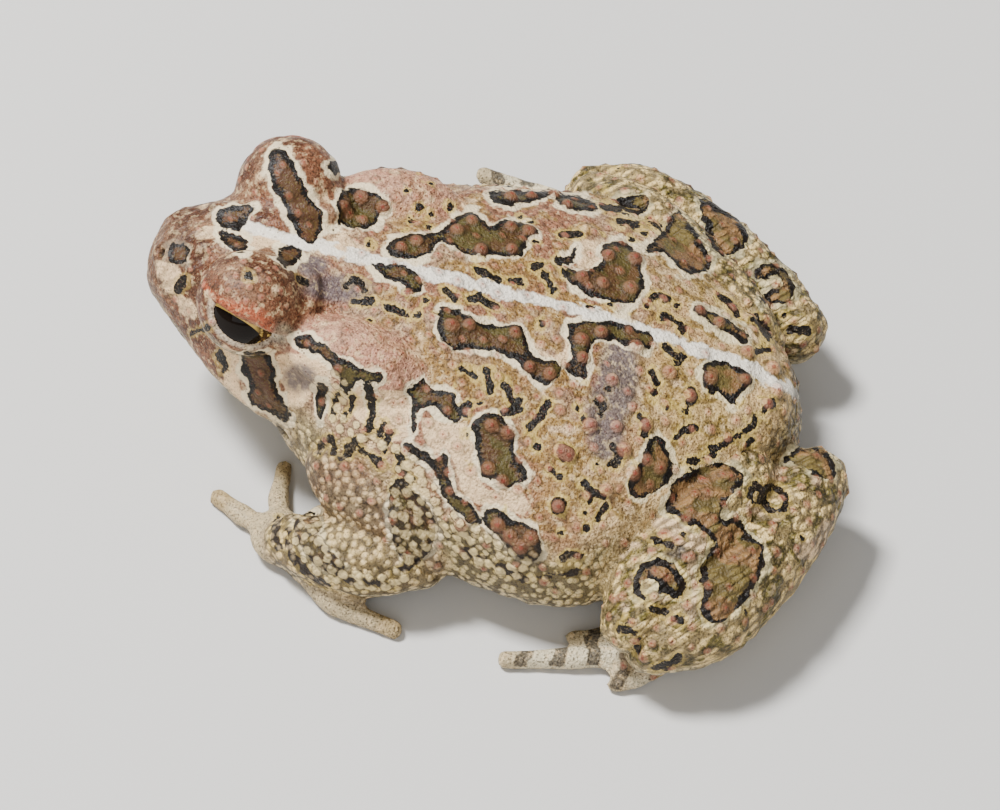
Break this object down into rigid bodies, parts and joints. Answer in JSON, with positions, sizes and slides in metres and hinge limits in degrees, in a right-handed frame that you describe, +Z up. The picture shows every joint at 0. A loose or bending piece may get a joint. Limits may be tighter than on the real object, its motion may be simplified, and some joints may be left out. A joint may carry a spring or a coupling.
{
  "type": "toad",
  "caption": "Life-size Fowler's toad sitting with its legs folded, warty and blotched, with a pale stripe down the back.",
  "frame": {"origin": "on the floor, under the middle of the toad's box", "axes": "+Z up from the floor, -Y the way the toad faces, +X its left side"},
  "size_m": [0.0702, 0.0748, 0.0277],
  "materials": {
    "back_skin": "dry warty skin, pinkish tan with dark blotches",
    "limb_skin": "dry warty skin, olive and cream with dark bars",
    "toe_skin": "smooth pale skin with dark bands",
    "wet_eye": "wet and glossy, black pupil in a gold iris"
  },
  "bodies": {
    "root": {"head": "back_skin", "torso": "back_skin", "upper_arm_left": "limb_skin", "upper_arm_right": "limb_skin", "forearm_left": "limb_skin", "forearm_right": "limb_skin", "hand_left": "toe_skin", "hand_right": "toe_skin", "thigh_left": "limb_skin", "thigh_right": "limb_skin", "shank_left": "limb_skin", "shank_right": "limb_skin", "foot_left": "toe_skin", "foot_right": "toe_skin", "eye_left": "wet_eye", "eye_right": "wet_eye"}
  },
  "joints": []
}
